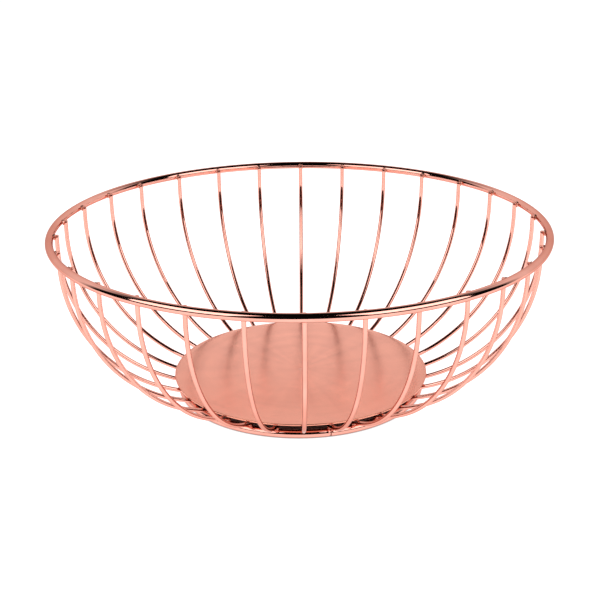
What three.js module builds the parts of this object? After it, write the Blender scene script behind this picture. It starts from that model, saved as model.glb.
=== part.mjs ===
// Round wire produce basket.
// A thick rim wire and a smaller ring of the same wire carry slim curved ribs,
// and a flat round plate lies in the curve of the ribs, over the base ring.
// Millimetres, +Z up. The base wire rests on z = 0 and the Z axis runs through its centre.

import * as THREE from "three";

// Driving dimensions.
const RIM_DIAMETER = 280; // over the outside of the rim wire
const HEIGHT = 98.5; // from the floor to the top of the rim wire
const RIM_WIRE = 4.5; // gauge of the rim wire
const BASE_WIRE = 4.5; // gauge of the base wire
const BASE_RING_DIAMETER = 138; // centreline of the base wire
const RIB_COUNT = 30;
const RIB_WIRE = 2.4; // gauge of the ribs
const PLATE_DIAMETER = 146.5;
const PLATE_THICKNESS = 0.9;
const PLATE_EDGE = 0.2; // chamfer around the edge of the plate
const WELD_GAP = 0.3; // clearance at every welded contact

// Shape of a rib: an upright tip, one long bow that crosses over the base wire,
// and a small bend that levels it off as a foot under the plate.
const TIP_ABOVE_RIM_CENTRE = 0.8;
const TIP_LENGTH = 7;
const FOOT_BEND_RADIUS = 10;
const FOOT_REACH = 4; // in from the foot bend, base wire or plate edge, the innermost of them
const FOOT_CLEARANCE = 2.3; // least room between a foot and the floor

// Facets.
const RIM_SEGMENTS = 120;
const BASE_SEGMENTS = 60;
const PLATE_SEGMENTS = 90;
const RING_SIDES = 12;
const RIB_SIDES = 8;
const BOW_STEPS = 32;
const FOOT_BEND_STEPS = 3;

// Radii and heights that follow from the driving dimensions.
const rimRadius = (RIM_DIAMETER - RIM_WIRE) / 2;
const rimHeight = HEIGHT - RIM_WIRE / 2;
const baseRadius = BASE_RING_DIAMETER / 2;
const baseHeight = BASE_WIRE / 2;
const tipRadius = rimRadius - (RIM_WIRE + RIB_WIRE) / 2 - WELD_GAP;
const tipHeight = rimHeight + TIP_ABOVE_RIM_CENTRE;

// The bow is upright where it meets the tip and lies on the base wire where it crosses it.
// When it would come level before the base wire, it is level at the height of that wire.
const bowHeight = tipHeight - TIP_LENGTH;
const bowRadius = radiusOfBow();
const bowCentre = tipRadius - bowRadius;

// The foot bend leaves the bow at the slope from which it comes level at its clearance
// from the floor. When the bow itself is level above that, there is nothing to bend.
const lowestFoot = RIB_WIRE / 2 + FOOT_CLEARANCE;
const footSlope = Math.acos(
  Math.min((bowHeight - lowestFoot - FOOT_BEND_RADIUS) / (bowRadius - FOOT_BEND_RADIUS), 1),
);
const bendCentre = bowCentre + (bowRadius - FOOT_BEND_RADIUS) * Math.sin(footSlope);
const bendHeight = bowHeight - (bowRadius - FOOT_BEND_RADIUS) * Math.cos(footSlope);
const footHeight = bendHeight - FOOT_BEND_RADIUS;
const plateRadius = PLATE_DIAMETER / 2;
const footRadius = Math.min(bendCentre, baseRadius, plateRadius) - FOOT_REACH;

// The plate settles onto the ribs until a corner of its edge is one weld gap from them.
const plateBottom = Math.max(
  heightInsideRibs(plateRadius) - PLATE_EDGE,
  heightInsideRibs(plateRadius - PLATE_EDGE),
);

const plated = { color: 0xd9a08c, metalness: 1, roughness: 0.15 };
const brushed = { color: 0xd89a86, metalness: 1, roughness: 0.4 };

function radiusOfBow() {
  const contact = (BASE_WIRE + RIB_WIRE) / 2 + WELD_GAP;
  const reach = tipRadius - baseRadius;
  const rise = bowHeight - baseHeight;
  if (reach > rise - contact) {
    return rise - contact;
  }
  return (reach ** 2 + rise ** 2 - contact ** 2) / (2 * (reach + contact));
}

// Height, at a distance from the axis, that keeps one weld gap to the inside of the ribs.
function heightInsideRibs(radius) {
  const inset = RIB_WIRE / 2 + WELD_GAP;
  if (radius > bowCentre + (bowRadius - inset) * Math.sin(footSlope)) {
    return bowHeight - Math.sqrt((bowRadius - inset) ** 2 - (radius - bowCentre) ** 2);
  }
  const out = Math.max(radius - bendCentre, 0);
  return bendHeight - Math.sqrt((FOOT_BEND_RADIUS - inset) ** 2 - out ** 2);
}

// Legs of a rib from the end of its foot to its tip. A leg bends upward by its angle over
// its length, and a leg with no angle is straight.
function ribLegs() {
  const upright = Math.PI / 2 - footSlope;
  const legs = [
    { length: bendCentre - footRadius, angle: 0, steps: 1 },
    { length: FOOT_BEND_RADIUS * footSlope, angle: footSlope, steps: FOOT_BEND_STEPS },
    { length: bowRadius * upright, angle: upright, steps: BOW_STEPS },
    { length: TIP_LENGTH, angle: 0, steps: 1 },
  ];
  return legs.filter((leg) => leg.length > 0);
}

// Centreline of a rib in the plane y = 0. Every leg is crossed in its own number of steps,
// so the joints between legs always fall on a station.
class RibLine extends THREE.Curve {
  constructor(legs) {
    super();
    this.steps = 0;
    this.pieces = [];
    let from = new THREE.Vector3(footRadius, 0, footHeight);
    let heading = 0;
    for (const leg of legs) {
      const piece = { ...leg, from, heading };
      this.pieces.push(piece);
      this.steps += leg.steps;
      from = RibLine.along(piece, 1);
      heading += leg.angle;
    }
  }

  static along(piece, share) {
    const bend = piece.angle * share;
    const chord =
      piece.angle === 0
        ? piece.length * share
        : (2 * piece.length * Math.sin(bend / 2)) / piece.angle;
    const direction = piece.heading + bend / 2;
    return new THREE.Vector3(
      piece.from.x + chord * Math.cos(direction),
      0,
      piece.from.z + chord * Math.sin(direction),
    );
  }

  locate(t) {
    let step = t * this.steps;
    let index = 0;
    while (index < this.pieces.length - 1 && step > this.pieces[index].steps) {
      step -= this.pieces[index].steps;
      index += 1;
    }
    const piece = this.pieces[index];
    return { piece, share: step / piece.steps };
  }

  getPoint(t) {
    const { piece, share } = this.locate(t);
    return RibLine.along(piece, share);
  }

  getTangent(t) {
    const { piece, share } = this.locate(t);
    const direction = piece.heading + piece.angle * share;
    return new THREE.Vector3(Math.cos(direction), 0, Math.sin(direction));
  }

  getUtoTmapping(u) {
    return u;
  }
}

// Corners of a regular polygon around a round wire, with a flat side facing down.
function wireSection(gauge, sides) {
  const corner = gauge / 2 / Math.cos(Math.PI / sides);
  const points = [];
  for (let i = 0; i < sides; i += 1) {
    const angle = ((i + 0.5) / sides) * 2 * Math.PI - Math.PI / 2;
    points.push(new THREE.Vector2(corner * Math.cos(angle), corner * Math.sin(angle)));
  }
  return points;
}

// A profile of radius and height, turned once around the Z axis.
function turned(profile, segments) {
  return new THREE.LatheGeometry(profile, segments).rotateX(Math.PI / 2);
}

function ringGeometry(radius, gauge, segments) {
  const profile = wireSection(gauge, RING_SIDES);
  for (const point of profile) {
    point.x += radius;
  }
  profile.push(profile[0].clone());
  return turned(profile, segments);
}

function plateGeometry() {
  const profile = [
    new THREE.Vector2(0, 0),
    new THREE.Vector2(plateRadius - PLATE_EDGE, 0),
    new THREE.Vector2(plateRadius, PLATE_EDGE),
    new THREE.Vector2(plateRadius, PLATE_THICKNESS - PLATE_EDGE),
    new THREE.Vector2(plateRadius - PLATE_EDGE, PLATE_THICKNESS),
    new THREE.Vector2(0, PLATE_THICKNESS),
  ];
  return turned(profile, PLATE_SEGMENTS);
}

function ribGeometry() {
  const line = new RibLine(ribLegs());
  const section = new THREE.Shape(wireSection(RIB_WIRE, RIB_SIDES));
  return new THREE.ExtrudeGeometry(section, { extrudePath: line, steps: line.steps });
}

function namedMesh(name, geometry, look) {
  const mesh = new THREE.Mesh(geometry, new THREE.MeshStandardMaterial(look));
  mesh.name = name;
  return mesh;
}

const basket = new THREE.Group();
basket.name = "wire_produce_basket";

const rim = namedMesh("rim_ring", ringGeometry(rimRadius, RIM_WIRE, RIM_SEGMENTS), plated);
rim.position.z = rimHeight;
basket.add(rim);

const base = namedMesh("base_ring", ringGeometry(baseRadius, BASE_WIRE, BASE_SEGMENTS), plated);
base.position.z = baseHeight;
basket.add(base);

const plate = namedMesh("base_plate", plateGeometry(), brushed);
plate.position.z = plateBottom;
basket.add(plate);

for (let i = 0; i < RIB_COUNT; i += 1) {
  const number = String(i + 1).padStart(2, "0");
  const rib = namedMesh(`rib_${number}`, ribGeometry(), plated);
  rib.rotation.z = Math.PI / 2 + (i / RIB_COUNT) * 2 * Math.PI;
  basket.add(rib);
}

export default basket;
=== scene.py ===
# %% [markdown]
# # A wire produce basket
#
# The basket is one welded piece of work: a thick rim wire, a smaller ring of the same wire that it
# stands on, thirty slim ribs between them, and a flat round plate in the bottom. The engineering
# model is loaded first and never changed. Every finer piece made below takes its sizes from it.

import math

import bmesh
import bpy
from mathutils import Matrix, Vector


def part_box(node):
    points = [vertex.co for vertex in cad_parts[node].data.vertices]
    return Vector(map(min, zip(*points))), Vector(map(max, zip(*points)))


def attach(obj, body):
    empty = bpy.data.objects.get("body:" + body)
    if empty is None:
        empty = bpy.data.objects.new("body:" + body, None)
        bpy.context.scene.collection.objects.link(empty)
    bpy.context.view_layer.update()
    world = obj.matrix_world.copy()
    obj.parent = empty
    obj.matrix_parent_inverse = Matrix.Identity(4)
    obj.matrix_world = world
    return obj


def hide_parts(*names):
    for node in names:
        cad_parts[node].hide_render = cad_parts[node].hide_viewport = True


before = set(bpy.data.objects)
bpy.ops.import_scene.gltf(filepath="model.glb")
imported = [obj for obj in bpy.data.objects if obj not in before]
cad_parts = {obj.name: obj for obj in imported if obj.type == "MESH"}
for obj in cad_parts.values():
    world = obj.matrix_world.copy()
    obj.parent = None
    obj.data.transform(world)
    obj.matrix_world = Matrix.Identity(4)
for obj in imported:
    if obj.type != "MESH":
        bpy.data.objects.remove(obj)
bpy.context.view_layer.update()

# %% [markdown]
# ## Reading the sizes
#
# A box around a ring of wire says all there is to know about it: half its width is the outer
# radius, and its height is the gauge of the wire. The box of a rib gives the ends of its centreline
# and its gauge, and the box of the plate gives its radius, its thickness and its height.

# %% Sizes taken from the model
MM = 0.001
TURN = 2 * math.pi

rim_low, rim_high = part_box("rim_ring")
base_low, base_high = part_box("base_ring")
plate_low, plate_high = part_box("base_plate")
rib_low, rib_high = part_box("rib_01")

RIB_NODES = sorted(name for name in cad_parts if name.startswith("rib_"))
RIB_COUNT = len(RIB_NODES)

rim_wire = rim_high.z - rim_low.z
rim_radius = rim_high.x - rim_wire / 2
rim_height = (rim_high.z + rim_low.z) / 2
base_wire = base_high.z - base_low.z
base_radius = base_high.x - base_wire / 2
base_height = (base_high.z + base_low.z) / 2
plate_radius = plate_high.x
rib_wire = rib_high.x - rib_low.x
tip_radius = rib_high.y - rib_wire / 2
tip_height = rib_high.z
foot_end = rib_low.y
foot_height = rib_low.z + rib_wire / 2
weld_gap = rim_radius - rim_wire / 2 - tip_radius - rib_wire / 2

print("rim", round(rim_radius / MM, 2), "base", round(base_radius / MM, 2), "mm to the wire's centre")
print(RIB_COUNT, "ribs of", round(rib_wire / MM, 2), "mm wire")

# %% [markdown]
# ## Plated wire
#
# Rose-gold plating is a thin film of coloured metal over polished nickel. A metal has no colour of
# its own under its reflections, so the base colour here is the tint that it gives to what it
# mirrors. Toward the edge of a round wire the tint of such a film deepens before it turns white,
# and the edge tint below does that: it draws the thin dark outline along each wire. The gloss of
# real plating is never even: handling and the last buffing leave it a little cloudier in patches,
# and the drawn wire beneath keeps a trace of its fine grain.


# %% Helpers for materials
def new_material(name):
    material = bpy.data.materials.new(name)
    material.use_nodes = True
    nodes = material.node_tree.nodes
    shader = nodes["Principled BSDF"]
    return material, nodes, material.node_tree.links, shader


def add_noise(nodes, links, vector, scale, detail, roughness=0.5):
    noise = nodes.new("ShaderNodeTexNoise")
    noise.inputs["Scale"].default_value = scale
    noise.inputs["Detail"].default_value = detail
    noise.inputs["Roughness"].default_value = roughness
    links.new(vector, noise.inputs["Vector"])
    return noise.outputs["Fac"]


def remap(nodes, links, value, low, high, from_low=0.3, from_high=0.7):
    node = nodes.new("ShaderNodeMapRange")
    node.inputs["From Min"].default_value = from_low
    node.inputs["From Max"].default_value = from_high
    node.inputs["To Min"].default_value = low
    node.inputs["To Max"].default_value = high
    links.new(value, node.inputs["Value"])
    return node.outputs["Result"]


def blend_colours(nodes, links, factor, first, second):
    mix = nodes.new("ShaderNodeMix")
    mix.data_type = "RGBA"
    mix.inputs["A"].default_value = (*first, 1.0)
    mix.inputs["B"].default_value = (*second, 1.0)
    links.new(factor, mix.inputs["Factor"])
    return mix.outputs["Result"]


# %% Polished rose-gold plating
ROSE = (0.82, 0.40, 0.325)
ROSE_DEEP = (0.74, 0.34, 0.27)
EDGE_TINT = (0.66, 0.45, 0.41)
WIRE_ROUGHNESS = (0.03, 0.08)
CLOUD_SCALE = 60
HAZE_SCALE = 220
GRAIN_SCALE = 1400


def plated_wire_material():
    material, nodes, links, shader = new_material("plated_wire")
    place = nodes.new("ShaderNodeTexCoord").outputs["Object"]
    cloud = add_noise(nodes, links, place, CLOUD_SCALE, 3)
    tone = blend_colours(nodes, links, remap(nodes, links, cloud, 0, 1), ROSE_DEEP, ROSE)
    links.new(tone, shader.inputs["Base Color"])
    haze = add_noise(nodes, links, place, HAZE_SCALE, 4)
    links.new(remap(nodes, links, haze, *WIRE_ROUGHNESS), shader.inputs["Roughness"])
    grain = add_noise(nodes, links, place, GRAIN_SCALE, 2)
    bump = nodes.new("ShaderNodeBump")
    bump.inputs["Strength"].default_value = 0.05
    bump.inputs["Distance"].default_value = 0.05 * MM
    links.new(grain, bump.inputs["Height"])
    links.new(bump.outputs["Normal"], shader.inputs["Normal"])
    shader.inputs["Metallic"].default_value = 1.0
    shader.inputs["Specular Tint"].default_value = (*EDGE_TINT, 1.0)
    return material


plated_wire = plated_wire_material()
print("finish", plated_wire.name)

# %% [markdown]
# ## Weld metal
#
# Where two wires are pressed together and welded, a bead of metal is squeezed out. The plating
# covers it, but over a rougher skin, so it mirrors less sharply and looks darker in its hollows.

# %% Plated weld metal
SCORCH = (0.42, 0.17, 0.11)
WELD_ROUGHNESS = (0.35, 0.15)
WELD_CLOUD_SCALE = 700
WELD_SKIN_SCALE = 2200


def weld_material():
    material, nodes, links, shader = new_material("plated_weld")
    place = nodes.new("ShaderNodeTexCoord").outputs["Object"]
    cloud = add_noise(nodes, links, place, WELD_CLOUD_SCALE, 4)
    tone = blend_colours(nodes, links, remap(nodes, links, cloud, 0, 1), SCORCH, ROSE)
    links.new(tone, shader.inputs["Base Color"])
    links.new(remap(nodes, links, cloud, *WELD_ROUGHNESS), shader.inputs["Roughness"])
    bump = nodes.new("ShaderNodeBump")
    bump.inputs["Strength"].default_value = 0.4
    bump.inputs["Distance"].default_value = 0.1 * MM
    links.new(add_noise(nodes, links, place, WELD_SKIN_SCALE, 3), bump.inputs["Height"])
    links.new(bump.outputs["Normal"], shader.inputs["Normal"])
    shader.inputs["Metallic"].default_value = 1.0
    return material


plated_weld = weld_material()
print("finish", plated_weld.name)

# %% [markdown]
# ## Brushed plate
#
# The plate is spun under an abrasive pad, which cuts fine grooves in circles round its centre.
# Grooves scatter light across themselves and hardly at all along themselves, and that is what
# draws the faint rays out of the centre. The rays are also painted into the colour as lighter and
# darker streaks, a painted highlight and shade over the real shine. The grooves are noise sampled
# on the distance from the centre, with the angle let in only a little so that no groove runs all
# the way round. Each layer of noise is set by two numbers: how fast it changes outward and how fast
# it changes round.

# %% Spun and brushed rose-gold plate
# The two ends of the plate's colour. The rays between them are a painted highlight and shade.
SATIN_ROSE = (0.86, 0.345, 0.24)
SATIN_DEEP = (0.74, 0.285, 0.20)
GROOVE_ROUGHNESS = (0.18, 0.22)
RAY_ROUGHNESS = (-0.01, 0.02)
GROOVES = (2600, 3.0)
BANDS = (160, 1.2)
RAYS = (6, 5.0)
# Share of the colour streaks from the grain bands; the rest is the painted highlight rays.
BAND_SHARE = 0.45


def polar_place(nodes, links, rings, sweep):
    """A vector whose X follows the distance from the centre and whose other two follow the angle."""
    place = nodes.new("ShaderNodeTexCoord").outputs["Object"]
    flat = nodes.new("ShaderNodeVectorMath")
    flat.operation = "MULTIPLY"
    flat.inputs[1].default_value = (1, 1, 0)
    links.new(place, flat.inputs[0])
    length = nodes.new("ShaderNodeVectorMath")
    length.operation = "LENGTH"
    links.new(flat.outputs["Vector"], length.inputs[0])
    across = nodes.new("ShaderNodeMath")
    across.operation = "MULTIPLY"
    across.inputs[1].default_value = rings
    links.new(length.outputs["Value"], across.inputs[0])
    direction = nodes.new("ShaderNodeVectorMath")
    direction.operation = "NORMALIZE"
    links.new(flat.outputs["Vector"], direction.inputs[0])
    parts = nodes.new("ShaderNodeSeparateXYZ")
    links.new(direction.outputs["Vector"], parts.inputs["Vector"])
    joined = nodes.new("ShaderNodeCombineXYZ")
    links.new(across.outputs["Value"], joined.inputs["X"])
    for axis, source in (("Y", "X"), ("Z", "Y")):
        scaled = nodes.new("ShaderNodeMath")
        scaled.operation = "MULTIPLY"
        scaled.inputs[1].default_value = sweep
        links.new(parts.outputs[source], scaled.inputs[0])
        links.new(scaled.outputs["Value"], joined.inputs[axis])
    return joined.outputs["Vector"]


def brushed_plate_material():
    material, nodes, links, shader = new_material("brushed_plate")
    grooves = add_noise(nodes, links, polar_place(nodes, links, *GROOVES), 1.0, 3, 0.7)
    bands = add_noise(nodes, links, polar_place(nodes, links, *BANDS), 1.0, 3)
    # The ray noise also paints lighter and darker rays into the colour: a painted highlight and
    # shade.
    rays = add_noise(nodes, links, polar_place(nodes, links, *RAYS), 1.0, 2)
    grain_and_painted_rays = nodes.new("ShaderNodeMath")
    grain_and_painted_rays.operation = "ADD"
    links.new(remap(nodes, links, bands, 0.0, BAND_SHARE), grain_and_painted_rays.inputs[0])
    links.new(remap(nodes, links, rays, 0.0, 1 - BAND_SHARE), grain_and_painted_rays.inputs[1])
    # The colour follows the grain bands, which are the plate's own, and the painted highlight rays.
    tone = blend_colours(nodes, links, grain_and_painted_rays.outputs["Value"], SATIN_DEEP, SATIN_ROSE)
    links.new(tone, shader.inputs["Base Color"])
    cloudy = nodes.new("ShaderNodeMath")
    cloudy.operation = "ADD"
    links.new(remap(nodes, links, grooves, *GROOVE_ROUGHNESS), cloudy.inputs[0])
    links.new(remap(nodes, links, rays, *RAY_ROUGHNESS), cloudy.inputs[1])
    links.new(cloudy.outputs["Value"], shader.inputs["Roughness"])
    bump = nodes.new("ShaderNodeBump")
    bump.inputs["Strength"].default_value = 0.05
    bump.inputs["Distance"].default_value = 0.03 * MM
    links.new(grooves, bump.inputs["Height"])
    links.new(bump.outputs["Normal"], shader.inputs["Normal"])
    tangent = nodes.new("ShaderNodeTangent")
    tangent.direction_type = "RADIAL"
    tangent.axis = "Z"
    links.new(tangent.outputs["Tangent"], shader.inputs["Tangent"])
    shader.inputs["Anisotropic"].default_value = 0.35
    shader.inputs["Metallic"].default_value = 1.0
    return material


brushed_plate = brushed_plate_material()
print("finish", brushed_plate.name)

# %% [markdown]
# ## Helpers for Geometry Nodes
#
# A node tree is a recipe: it is given a line and a few sizes, and returns the finished wire. The
# sizes are named inputs of the tree, so the same recipe serves every wire of the basket. A
# modifier keeps each value under its socket's identifier, which is looked up from its name.


# %% Building and applying node trees
def new_tree(name, sizes):
    """A tree that takes a geometry and the named sizes, each given as its kind and its value."""
    tree = bpy.data.node_groups.new(name, "GeometryNodeTree")
    tree.interface.new_socket("Geometry", in_out="INPUT", socket_type="NodeSocketGeometry")
    for label, (kind, value) in sizes.items():
        socket = tree.interface.new_socket(label, in_out="INPUT", socket_type="NodeSocket" + kind)
        if value is not None:
            socket.default_value = value
    tree.interface.new_socket("Geometry", in_out="OUTPUT", socket_type="NodeSocketGeometry")
    entry = tree.nodes.new("NodeGroupInput")
    return tree, entry


def add_node(tree, kind, settings=None, **sources):
    """Adds a node. Each source is a plain value or another node's output, by input name."""
    node = tree.nodes.new(kind)
    for key, value in (settings or {}).items():
        setattr(node, key, value)
    for key, source in sources.items():
        index = int(key[3:]) if key.startswith("in_") else None
        socket = node.inputs[index] if index is not None else node.inputs[key.replace("_", " ")]
        if isinstance(source, bpy.types.NodeSocket):
            tree.links.new(source, socket)
        else:
            socket.default_value = source
    return node


def finish_tree(tree, geometry, material):
    whole = add_node(tree, "GeometryNodeRealizeInstances", Geometry=geometry)
    coated = add_node(
        tree, "GeometryNodeSetMaterial", Geometry=whole.outputs["Geometry"], Material=material
    )
    leave = tree.nodes.new("NodeGroupOutput")
    tree.links.new(coated.outputs["Geometry"], leave.inputs["Geometry"])


def run_tree(carrier, tree, values):
    """Runs a tree on an object and returns the result as a plain object at the origin."""
    modifier = carrier.modifiers.new(tree.name, "NODES")
    modifier.node_group = tree
    for item in tree.interface.items_tree:
        if item.in_out == "INPUT" and item.name in values:
            modifier[item.identifier] = values[item.name]
    bpy.context.view_layer.update()
    graph = bpy.context.evaluated_depsgraph_get()
    mesh = bpy.data.meshes.new_from_object(carrier.evaluated_get(graph), depsgraph=graph)
    carrier.modifiers.remove(modifier)
    name = carrier.name
    old = carrier.data
    bpy.data.objects.remove(carrier)
    bpy.data.meshes.remove(old)
    mesh.name = name
    piece = bpy.data.objects.new(name, mesh)
    bpy.context.scene.collection.objects.link(piece)
    return piece


def count_faces(piece):
    return sum(len(face.vertices) - 2 for face in piece.data.polygons)


# %% [markdown]
# ## The rule for setting pieces out round the axis
#
# Ribs and welds all repeat round the upright axis. One small tree gives the turn of each copy: an
# even share of the circle, a little sway, because wires are set in their jig by hand, and a drift
# that is the same way across the basket on its near and far sides, because the jig sits a little
# off centre. Ribs and their welds use the same values, so each weld stays on its own rib.


# %% Turn of each copy
def turn_of_copy(tree, entry):
    index = add_node(tree, "GeometryNodeInputIndex").outputs["Index"]
    share = add_node(
        tree, "ShaderNodeMath", {"operation": "DIVIDE"}, in_0=TURN, in_1=entry.outputs["Copies"]
    )
    even = add_node(
        tree, "ShaderNodeMath", {"operation": "MULTIPLY"}, in_0=index, in_1=share.outputs["Value"]
    )
    less = add_node(
        tree, "ShaderNodeMath", {"operation": "MULTIPLY"}, in_0=entry.outputs["Sway"], in_1=-1.0
    )
    sway = add_node(
        tree,
        "FunctionNodeRandomValue",
        {"data_type": "FLOAT"},
        in_2=less.outputs["Value"],
        in_3=entry.outputs["Sway"],
        ID=index,
        Seed=entry.outputs["Seed"],
    )
    swayed = add_node(
        tree,
        "ShaderNodeMath",
        {"operation": "ADD"},
        in_0=even.outputs["Value"],
        in_1=sway.outputs[1],
    )
    side = add_node(tree, "ShaderNodeMath", {"operation": "COSINE"}, in_0=even.outputs["Value"])
    total = add_node(
        tree,
        "ShaderNodeMath",
        {"operation": "MULTIPLY_ADD"},
        in_0=side.outputs["Value"],
        in_1=entry.outputs["Drift"],
        in_2=swayed.outputs["Value"],
    )
    return add_node(tree, "ShaderNodeCombineXYZ", Z=total.outputs["Value"]).outputs["Vector"]


def repeat_round_axis(tree, entry, geometry):
    points = add_node(tree, "GeometryNodePoints", Count=entry.outputs["Copies"])
    copies = add_node(
        tree,
        "GeometryNodeInstanceOnPoints",
        Points=points.outputs[0],
        Instance=geometry,
        Rotation=turn_of_copy(tree, entry),
    )
    return copies.outputs["Instances"]


# %% [markdown]
# ## A wire along a line
#
# All the wires are round and drawn through a die, so their section never changes. The recipe turns
# a chain of edges into a curve, carries a circle along it and closes its ends. A thickness stored
# on each point of the line draws the section in a little where the end of a cut wire was deburred.


# %% Recipe for wires
def wire_tree():
    tree, entry = new_tree(
        "wire_along_line",
        {
            "Wire radius": ("Float", 0.001),
            "Sides": ("Int", 16),
            "Copies": ("Int", 1),
            "Sway": ("Float", 0.0),
            "Drift": ("Float", 0.0),
            "Seed": ("Int", 0),
            "Finish": ("Material", None),
        },
    )
    line = add_node(tree, "GeometryNodeMeshToCurve", Mesh=entry.outputs["Geometry"])
    section = add_node(
        tree,
        "GeometryNodeCurvePrimitiveCircle",
        Resolution=entry.outputs["Sides"],
        Radius=entry.outputs["Wire radius"],
    )
    thickness = add_node(
        tree, "GeometryNodeInputNamedAttribute", {"data_type": "FLOAT"}, Name="thickness"
    )
    wire = add_node(
        tree,
        "GeometryNodeCurveToMesh",
        Curve=line.outputs["Curve"],
        Profile_Curve=section.outputs["Curve"],
        Scale=thickness.outputs["Attribute"],
        Fill_Caps=True,
    )
    corners = add_node(tree, "GeometryNodeInputMeshFaceNeighbors").outputs["Vertex Count"]
    is_cap = add_node(
        tree,
        "FunctionNodeCompare",
        {"data_type": "INT", "operation": "GREATER_THAN"},
        in_2=corners,
        in_3=4,
    )
    round_side = add_node(
        tree, "FunctionNodeBooleanMath", {"operation": "NOT"}, in_0=is_cap.outputs["Result"]
    )
    smooth = add_node(
        tree,
        "GeometryNodeSetShadeSmooth",
        Geometry=wire.outputs["Mesh"],
        Shade_Smooth=round_side.outputs["Boolean"],
    )
    copies = repeat_round_axis(tree, entry, smooth.outputs["Geometry"])
    finish_tree(tree, copies, entry.outputs["Finish"])
    return tree


wire_along_line = wire_tree()
print("recipe", wire_along_line.name, len(wire_along_line.nodes), "nodes")


# %% A chain of edges to carry the recipe
def line_object(name, points, thickness, closed=False):
    count = len(points)
    edges = [(i, i + 1) for i in range(count - 1)]
    if closed:
        edges.append((count - 1, 0))
    mesh = bpy.data.meshes.new(name)
    mesh.from_pydata(points, edges, [])
    layer = mesh.attributes.new("thickness", "FLOAT", "POINT")
    layer.data.foreach_set("value", thickness)
    line = bpy.data.objects.new(name, mesh)
    bpy.context.scene.collection.objects.link(line)
    return line


# %% [markdown]
# ## The rim
#
# The rim wire is rolled into a hoop and its ends are welded butt to butt. The weld is ground back
# and plated over, so all that shows is a faint waist in the wire.

# %% Rim wire
RIM_STATIONS = 720
RING_SIDES = 32
RIM_JOINT_TURN = TURN * 0.755
RIM_JOINT_WIDTH = 0.9 * MM
RIM_JOINT_WAIST = 0.03


def rim_line():
    points = []
    thickness = []
    for i in range(RIM_STATIONS):
        turn = TURN * i / RIM_STATIONS
        points.append((rim_radius * math.cos(turn), rim_radius * math.sin(turn), rim_height))
        along = (turn - RIM_JOINT_TURN) * rim_radius / RIM_JOINT_WIDTH
        thickness.append(1 - RIM_JOINT_WAIST * math.exp(-along * along))
    return line_object("rim_wire", points, thickness, closed=True)


rim_piece = run_tree(
    rim_line(),
    wire_along_line,
    {"Wire radius": rim_wire / 2, "Sides": RING_SIDES, "Finish": plated_wire},
)
print("rim", count_faces(rim_piece), "triangles")

# %% [markdown]
# ## The base ring
#
# The ring that the basket stands on is made like the rim, but its joint is left as it was welded.
# Its two cut ends meet with a narrow gap, each with its sharp edge taken off.

# %% Base wire
BASE_STATIONS = 480
BASE_JOINT_TURN = TURN * 0.75 + math.radians(13)
BASE_JOINT_GAP = 0.35 * MM
DEBURR = ((0.0, 0.86), (0.12 * MM, 0.95), (0.3 * MM, 1.0))


def deburred_stations(length, stations):
    """Distances along a wire with their thickness, and extra stations at both of its ends."""
    inner = DEBURR[-1][0]
    middle = [inner + (length - 2 * inner) * i / stations for i in range(1, stations)]
    start = list(DEBURR)
    end = [(length - distance, share) for distance, share in reversed(DEBURR)]
    return start + [(distance, 1.0) for distance in middle] + end


def base_line():
    length = TURN * base_radius - BASE_JOINT_GAP
    start = BASE_JOINT_TURN + BASE_JOINT_GAP / 2 / base_radius
    points = []
    thickness = []
    for distance, share in deburred_stations(length, BASE_STATIONS):
        turn = start + distance / base_radius
        points.append((base_radius * math.cos(turn), base_radius * math.sin(turn), base_height))
        thickness.append(share)
    return line_object("base_wire", points, thickness)


base_piece = run_tree(
    base_line(),
    wire_along_line,
    {"Wire radius": base_wire / 2, "Sides": RING_SIDES, "Finish": plated_wire},
)
print("base ring", count_faces(base_piece), "triangles")

# %% [markdown]
# ## The ribs
#
# A rib is one long bow with a short upright tip, which lies against the inside of the rim. The bow
# has to be upright where it meets the tip and has to lie on the base wire where it crosses it, and
# only one radius does both, so it is solved for. The plate rests in the curve of the bows. Under
# the plate a small bend levels each rib off, and it ends there as a foot. The line is drawn once
# and the recipe repeats it.

# %% Centreline of a rib
TIP_LENGTH = 7 * MM
BEND_RADIUS = 10 * MM
STATION_SPACING = 1.6 * MM
RIB_SIDES = 20

base_contact = (base_wire + rib_wire) / 2 + weld_gap
bow_height = tip_height - TIP_LENGTH
bow_reach = tip_radius - base_radius
bow_rise = bow_height - base_height
bow_radius = (bow_reach**2 + bow_rise**2 - base_contact**2) / (2 * (bow_reach + base_contact))
bow_centre = tip_radius - bow_radius
bend_reach = bow_radius - BEND_RADIUS
bend_slope = math.acos(min((bow_height - foot_height - BEND_RADIUS) / bend_reach, 1.0))
bend_centre = bow_centre + bend_reach * math.sin(bend_slope)
level_length = bend_centre - foot_end
bend_length = BEND_RADIUS * bend_slope
bow_length = bow_radius * (math.pi / 2 - bend_slope)
print("bow radius", round(bow_radius / MM, 1), "mm, levels off", round(level_length / MM, 1), "mm in")


def point_on_rib(distance):
    """Distance out from the axis and height, at a distance along the wire from its foot."""
    on_bend = distance - level_length
    on_bow = on_bend - bend_length
    if on_bend <= 0:
        return foot_end + distance, foot_height
    if on_bow <= 0:
        slope = on_bend / BEND_RADIUS
        rise = BEND_RADIUS * (1 - math.cos(slope))
        return bend_centre + BEND_RADIUS * math.sin(slope), foot_height + rise
    slope = min(bend_slope + on_bow / bow_radius, math.pi / 2)
    above = max(on_bow - bow_length, 0.0)
    out = bow_centre + bow_radius * math.sin(slope)
    return out, bow_height - bow_radius * math.cos(slope) + above


def rib_line():
    length = level_length + bend_length + bow_length + TIP_LENGTH
    stations = deburred_stations(length, round(length / STATION_SPACING))
    points = []
    thickness = []
    for distance, share in stations:
        out, up = point_on_rib(distance)
        points.append((0.0, out, up))
        thickness.append(share)
    print("each rib is", round(length / MM, 1), "mm of wire in", len(points), "stations")
    return line_object("ribs", points, thickness)


# %% Thirty ribs
JIG_SWAY = math.radians(0.35)
JIG_DRIFT = math.radians(-0.7)
JIG_SEED = 7

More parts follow.
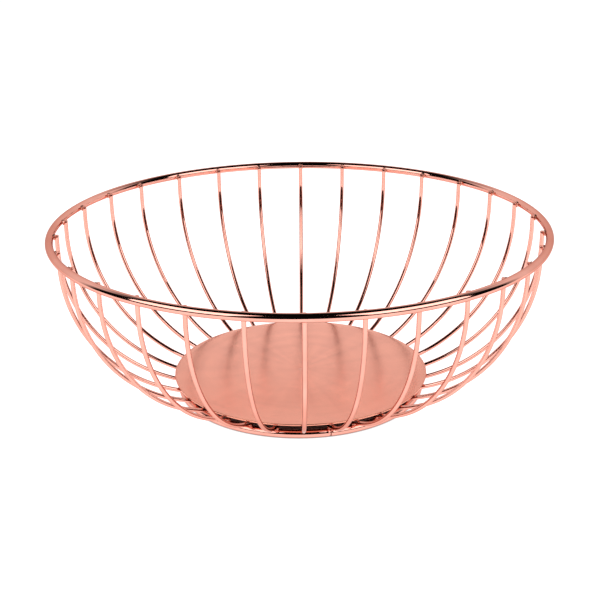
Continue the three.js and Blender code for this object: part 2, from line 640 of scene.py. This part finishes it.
ribs_piece = run_tree(
    rib_line(),
    wire_along_line,
    {
        "Wire radius": rib_wire / 2,
        "Sides": RIB_SIDES,
        "Copies": RIB_COUNT,
        "Sway": JIG_SWAY,
        "Drift": JIG_DRIFT,
        "Seed": JIG_SEED,
        "Finish": plated_wire,
    },
)
print("ribs", count_faces(ribs_piece), "triangles")

# %% [markdown]
# ## The welds
#
# Every rib is welded three times: to the rim at its tip, to the base ring where it crosses, and to
# the edge of the plate. Each weld is a squeezed bead that bridges the two pieces. The recipe
# stretches a ball into a bead, repeats it, and then pushes its skin in and out with noise that is
# sampled where each copy ends up, so no two beads are alike.


# %% Recipe for weld beads
def bead_tree():
    tree, entry = new_tree(
        "weld_beads",
        {
            "Bead size": ("Vector", (1.0, 1.0, 1.0)),
            "Bead place": ("Vector", (0.0, 0.0, 0.0)),
            "Lump height": ("Float", 0.0),
            "Lump size": ("Float", 1.0),
            "Copies": ("Int", 1),
            "Sway": ("Float", 0.0),
            "Drift": ("Float", 0.0),
            "Seed": ("Int", 0),
            "Finish": ("Material", None),
        },
    )
    ball = add_node(tree, "GeometryNodeMeshIcoSphere", Radius=1.0, Subdivisions=3)
    bead = add_node(
        tree,
        "GeometryNodeTransform",
        Geometry=ball.outputs["Mesh"],
        Translation=entry.outputs["Bead place"],
        Scale=entry.outputs["Bead size"],
    )
    smooth = add_node(tree, "GeometryNodeSetShadeSmooth", Geometry=bead.outputs["Geometry"])
    copies = repeat_round_axis(tree, entry, smooth.outputs["Geometry"])
    whole = add_node(tree, "GeometryNodeRealizeInstances", Geometry=copies)
    place = add_node(tree, "GeometryNodeInputPosition").outputs["Position"]
    fineness = add_node(
        tree, "ShaderNodeMath", {"operation": "DIVIDE"}, in_0=1.0, in_1=entry.outputs["Lump size"]
    )
    noise = add_node(
        tree, "ShaderNodeTexNoise", Vector=place, Scale=fineness.outputs["Value"], Detail=1.0
    )
    centred = add_node(
        tree, "ShaderNodeMath", {"operation": "SUBTRACT"}, in_0=noise.outputs["Fac"], in_1=0.5
    )
    height = add_node(
        tree,
        "ShaderNodeMath",
        {"operation": "MULTIPLY"},
        in_0=centred.outputs["Value"],
        in_1=entry.outputs["Lump height"],
    )
    normal = add_node(tree, "GeometryNodeInputNormal").outputs["Normal"]
    push = add_node(
        tree,
        "ShaderNodeVectorMath",
        {"operation": "SCALE"},
        in_0=normal,
        Scale=height.outputs["Value"],
    )
    lumpy = add_node(
        tree,
        "GeometryNodeSetPosition",
        Geometry=whole.outputs["Geometry"],
        Offset=push.outputs["Vector"],
    )
    finish_tree(tree, lumpy.outputs["Geometry"], entry.outputs["Finish"])
    return tree


weld_beads = bead_tree()
print("recipe", weld_beads.name, len(weld_beads.nodes), "nodes")

# %% Beads at the rim, the base ring and the plate
LUMP_SIZE = 1.1 * MM
RIM_BEAD_DROP = 0.3 * MM
RIM_BEAD = (1.5 * MM, 0.85 * MM, 1.8 * MM)
BASE_BEAD = (1.6 * MM, 1.4 * MM, 0.8 * MM)
PLATE_BEAD = (1.0 * MM, 1.1 * MM, 0.45 * MM)
PLATE_BEAD_INSET = 0.9 * MM
PLATE_BEAD_DROP = 0.05 * MM
RIM_LUMPS = 1.0 * MM
BASE_LUMPS = 0.9 * MM
PLATE_LUMPS = 0.25 * MM


def bead_set(name, out, height, size, lump_height):
    """One bead on every rib, at a distance out from the axis and a height."""
    carrier = line_object(name, [(0.0, 0.0, 0.0)], [1.0])
    return run_tree(
        carrier,
        weld_beads,
        {
            "Bead size": size,
            "Bead place": (0.0, out, height),
            "Lump height": lump_height,
            "Lump size": LUMP_SIZE,
            "Copies": RIB_COUNT,
            "Sway": JIG_SWAY,
            "Drift": JIG_DRIFT,
            "Seed": JIG_SEED,
            "Finish": plated_weld,
        },
    )


rim_welds = bead_set(
    "rim_welds",
    tip_radius + (rib_wire + weld_gap) / 2,
    rim_height - RIM_BEAD_DROP,
    RIM_BEAD,
    RIM_LUMPS,
)
crossing_slope = math.asin((base_radius - bow_centre) / (bow_radius + base_contact))
bead_drop = (base_wire + weld_gap) / 2
base_welds = bead_set(
    "base_welds",
    base_radius - bead_drop * math.sin(crossing_slope),
    base_height + bead_drop * math.cos(crossing_slope),
    BASE_BEAD,
    BASE_LUMPS,
)
plate_welds = bead_set(
    "plate_welds",
    plate_radius - PLATE_BEAD_INSET,
    plate_low.z - PLATE_BEAD_DROP,
    PLATE_BEAD,
    PLATE_LUMPS,
)
for welds in (rim_welds, base_welds, plate_welds):
    print(welds.name, count_faces(welds), "triangles")

# %% [markdown]
# ## The plate
#
# The plate is a blanked disc. A disc with dead sharp edges would catch no light, and the bright
# hairline on a real one comes from its edge being rolled over by the press. So the plate is turned
# from a profile with rounded corners, and has the small centre mark left by the spindle.

# %% Turned plate
PLATE_STEPS = 288
EDGE_ROUND = 0.32 * MM
EDGE_STEPS = 5
MARK_RADIUS = 1.3 * MM
MARK_DEPTH = 0.18 * MM


def plate_profile():
    """(radius, height) pairs from the middle of the underside round to the middle of the top."""
    low, high = plate_low.z, plate_high.z
    profile = [(plate_radius * share, low) for share in (0.25, 0.5, 0.75, 0.95)]
    for centre, start in ((low + EDGE_ROUND, -0.25), (high - EDGE_ROUND, 0.0)):
        for step in range(EDGE_STEPS + 1):
            turn = TURN * (start + 0.25 * step / EDGE_STEPS)
            out = plate_radius - EDGE_ROUND + EDGE_ROUND * math.cos(turn)
            profile.append((out, centre + EDGE_ROUND * math.sin(turn)))
    profile += [(plate_radius * share, high) for share in (0.95, 0.75, 0.5, 0.25, 0.08)]
    for share in (1.0, 0.85, 0.6, 0.3):
        depth = MARK_DEPTH * (math.cos(math.pi * share) + 1) / 2
        profile.append((MARK_RADIUS * share, high - depth))
    return profile


def turned_mesh(name, profile, bottom, top, steps):
    """A closed turned shape whose two poles are single points."""
    points = [(0.0, 0.0, bottom)]
    for radius, height in profile:
        for step in range(steps):
            turn = TURN * step / steps
            points.append((radius * math.cos(turn), radius * math.sin(turn), height))
    points.append((0.0, 0.0, top))
    faces = []
    last = len(points) - 1
    for step in range(steps):
        after = (step + 1) % steps
        faces.append((0, 1 + after, 1 + step))
        for ring in range(len(profile) - 1):
            here = 1 + ring * steps
            there = here + steps
            faces.append((here + step, here + after, there + after, there + step))
        outer = 1 + (len(profile) - 1) * steps
        faces.append((last, outer + step, outer + after))
    mesh = bpy.data.meshes.new(name)
    mesh.from_pydata(points, [], faces)
    for face in mesh.polygons:
        face.use_smooth = True
    piece = bpy.data.objects.new(name, mesh)
    bpy.context.scene.collection.objects.link(piece)
    return piece


plate_piece = turned_mesh(
    "plate", plate_profile(), plate_low.z, plate_high.z - MARK_DEPTH, PLATE_STEPS
)
plate_piece.data.materials.append(brushed_plate)
print("plate", count_faces(plate_piece), "triangles")


# %% Outward faces on every piece
def face_outward(piece):
    shell = bmesh.new()
    shell.from_mesh(piece.data)
    bmesh.ops.recalc_face_normals(shell, faces=shell.faces)
    volume = shell.calc_volume(signed=True)
    open_edges = sum(1 for edge in shell.edges if not edge.is_manifold)
    shell.to_mesh(piece.data)
    shell.free()
    print(piece.name, "volume", round(volume / MM**3), "mm3, open edges", open_edges)


pieces = {
    rim_piece: ("plated_wire", ["rim_ring"]),
    base_piece: ("plated_wire", ["base_ring"]),
    ribs_piece: ("plated_wire", RIB_NODES),
    rim_welds: ("plated_wire", []),
    base_welds: ("plated_wire", []),
    plate_welds: ("plated_wire", []),
    plate_piece: ("brushed_plate", ["base_plate"]),
}
for piece, (slot, nodes) in pieces.items():
    face_outward(piece)
    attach(piece, "root")
    if nodes:
        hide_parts(*nodes)

# %% [markdown]
# ## Floor
#
# The basket stands on a wide pale sheet. The sheet glows, as a light table does, so that it runs
# into the white surroundings with no edge and fills the wires with light from below. Toward the
# camera its glow is raised, a painted pool of light, because the outer faces of the near ribs
# mirror it there. The glow is cut out under the basket to about the middle of the base wire: a
# painted shade under the plate and a painted contact shadow along the foot of the ring. There the
# sheet is plain matt and also takes the basket's own shade.

# %% Pale floor
FLOOR_RADIUS = 0.57
# Inside GLOW_START the glow is cut out: painted shade under the basket and a painted contact shadow
# at the ring.
GLOW_START = 69 * MM
GLOW_FULL = 71.5 * MM
FLOOR_GLOW = 1.2
# FRONT_GLOW is a painted pool of extra light on the floor toward the camera.
FRONT_START = 80 * MM
FRONT_FULL = 280 * MM
FRONT_GLOW = 0.15
FLOOR_STEPS = 96
FLOOR_GREY = 0.30
FLOOR_GREY_SPECKLE = 0.32


def floor_material():
    material, nodes, links, shader = new_material("pale_floor")
    place = nodes.new("ShaderNodeTexCoord").outputs["Object"]
    away = nodes.new("ShaderNodeVectorMath")
    away.operation = "LENGTH"
    links.new(place, away.inputs[0])
    # The glow is left out under the basket: painted shade and a painted contact shadow at the ring.
    glow = remap(nodes, links, away.outputs["Value"], 0.0, FLOOR_GLOW, GLOW_START, GLOW_FULL)
    parts = nodes.new("ShaderNodeSeparateXYZ")
    links.new(place, parts.inputs["Vector"])
    # Extra glow toward the camera: a painted pool of light.
    painted_front_light = remap(nodes, links, parts.outputs["Y"], 0.0, FRONT_GLOW, -FRONT_START, -FRONT_FULL)
    total = nodes.new("ShaderNodeMath")
    total.operation = "ADD"
    links.new(glow, total.inputs[0])
    links.new(painted_front_light, total.inputs[1])
    links.new(total.outputs["Value"], shader.inputs["Emission Strength"])
    speckle = add_noise(nodes, links, place, 90, 3)
    spread = remap(nodes, links, speckle, 0, 1)
    tone = blend_colours(nodes, links, spread, (FLOOR_GREY,) * 3, (FLOOR_GREY_SPECKLE,) * 3)
    links.new(tone, shader.inputs["Base Color"])
    shader.inputs["Emission Color"].default_value = (1.0, 1.0, 1.0, 1.0)
    shader.inputs["Roughness"].default_value = 0.8
    shader.inputs["Specular IOR Level"].default_value = 0.1
    return material


def floor_sheet():
    mesh = bpy.data.meshes.new("floor")
    points = [(0.0, 0.0, 0.0)]
    for step in range(FLOOR_STEPS):
        turn = TURN * step / FLOOR_STEPS
        points.append((FLOOR_RADIUS * math.cos(turn), FLOOR_RADIUS * math.sin(turn), 0.0))
    faces = [(0, 1 + step, 1 + (step + 1) % FLOOR_STEPS) for step in range(FLOOR_STEPS)]
    mesh.from_pydata(points, [], faces)
    mesh.materials.append(floor_material())
    sheet = bpy.data.objects.new("floor", mesh)
    bpy.context.scene.collection.objects.link(sheet)
    return sheet


floor = floor_sheet()
print("floor", FLOOR_RADIUS * 2, "m across")

# %% [markdown]
# ## Light
#
# Polished metal shows its surroundings and little else, so lighting it is a matter of placing what
# it mirrors. A pale wall stands behind the basket and round its sides, two large soft boxes stand
# to the left and right of the camera, and the room overhead and behind the camera is dark. The dark
# room draws the black lines that make the wire read as round. The wall is placed by direction: it
# fades in toward the back and fades out with height. Straight to the camera the surroundings are
# plain white everywhere, so that the picture has an even backdrop from any side.

# %% Surroundings
WALL_LIGHT = 1.04
DARK_ROOM = 0.003
WALL_FROM, WALL_FULL = 0.1, 0.3
WALL_TOP_FROM, WALL_TOP_END = 0.6, 0.8


def surroundings():
    world = bpy.data.worlds.new("studio")
    bpy.context.scene.world = world
    world.use_nodes = True
    nodes, links = world.node_tree.nodes, world.node_tree.links
    nodes.clear()
    direction = nodes.new("ShaderNodeTexCoord").outputs["Generated"]
    parts = nodes.new("ShaderNodeSeparateXYZ")
    links.new(direction, parts.inputs["Vector"])
    behind = remap(nodes, links, parts.outputs["Y"], 0.0, 1.0, WALL_FROM, WALL_FULL)
    low = remap(nodes, links, parts.outputs["Z"], 1.0, 0.0, WALL_TOP_FROM, WALL_TOP_END)
    wall = nodes.new("ShaderNodeMath")
    wall.operation = "MULTIPLY"
    links.new(behind, wall.inputs[0])
    links.new(low, wall.inputs[1])
    seen = nodes.new("ShaderNodeLightPath").outputs["Is Camera Ray"]
    bright = nodes.new("ShaderNodeMath")
    bright.operation = "MAXIMUM"
    links.new(wall.outputs["Value"], bright.inputs[0])
    links.new(seen, bright.inputs[1])
    level = remap(nodes, links, bright.outputs["Value"], DARK_ROOM, WALL_LIGHT, 0.0, 1.0)
    back = nodes.new("ShaderNodeBackground")
    links.new(level, back.inputs["Strength"])
    back.inputs["Color"].default_value = (1.0, 1.0, 1.0, 1.0)
    leave = nodes.new("ShaderNodeOutputWorld")
    links.new(back.outputs["Background"], leave.inputs["Surface"])
    return world


surroundings()

# %% Soft boxes
BOX_AZIMUTH = math.radians(50)
BOX_ELEVATION = math.radians(32)
BOX_WIDTH = 1.0
BOX_HEIGHT = 0.9
BOX_DISTANCE = 1.2
BOX_POWER = 7.0
target = Vector((0.0, 0.0, 0.05238))


def soft_box(name, turn):
    """A soft light that faces the basket. It is turned round the axis from the camera's side."""
    lift = BOX_ELEVATION
    level = math.cos(lift)
    away = Vector((math.sin(turn) * level, -math.cos(turn) * level, math.sin(lift)))
    lamp = bpy.data.lights.new(name, "AREA")
    lamp.shape = "RECTANGLE"
    lamp.size = BOX_WIDTH
    lamp.size_y = BOX_HEIGHT
    lamp.energy = BOX_POWER
    box = bpy.data.objects.new(name, lamp)
    box.location = target + away * BOX_DISTANCE
    box.rotation_euler = away.to_track_quat("Z", "Y").to_euler()
    bpy.context.scene.collection.objects.link(box)
    return box


soft_box("left_soft_box", -BOX_AZIMUTH)
soft_box("right_soft_box", BOX_AZIMUTH)

# %% [markdown]
# ## Camera
#
# The camera looks down on the basket from a little above its rim, through a lens long enough that
# the far side of the rim is not much smaller than the near side.

# %% Camera
CAMERA_ELEVATION = math.radians(20.868)
CAMERA_DISTANCE = 0.6867
CAMERA_ROLL = math.radians(-0.560)
LENS = 71.92


def place_camera():
    back = Vector((0.0, -math.cos(CAMERA_ELEVATION), math.sin(CAMERA_ELEVATION)))
    right = Vector((1.0, 0.0, 0.0))
    up = back.cross(right)
    rolled_right = right * math.cos(CAMERA_ROLL) + up * math.sin(CAMERA_ROLL)
    rolled_up = up * math.cos(CAMERA_ROLL) - right * math.sin(CAMERA_ROLL)
    turn = Matrix((rolled_right, rolled_up, back)).transposed()
    lens = bpy.data.cameras.new("camera")
    lens.lens = LENS
    lens.sensor_width = 36.0
    camera = bpy.data.objects.new("camera", lens)
    camera.location = target + back * CAMERA_DISTANCE
    camera.rotation_euler = turn.to_euler()
    bpy.context.scene.collection.objects.link(camera)
    bpy.context.scene.camera = camera


place_camera()
bpy.context.scene.view_settings.view_transform = "Standard"
print("camera", [round(v, 3) for v in bpy.context.scene.camera.location])

# %% [markdown]
#

# %% Scene update
bpy.context.view_layer.update()
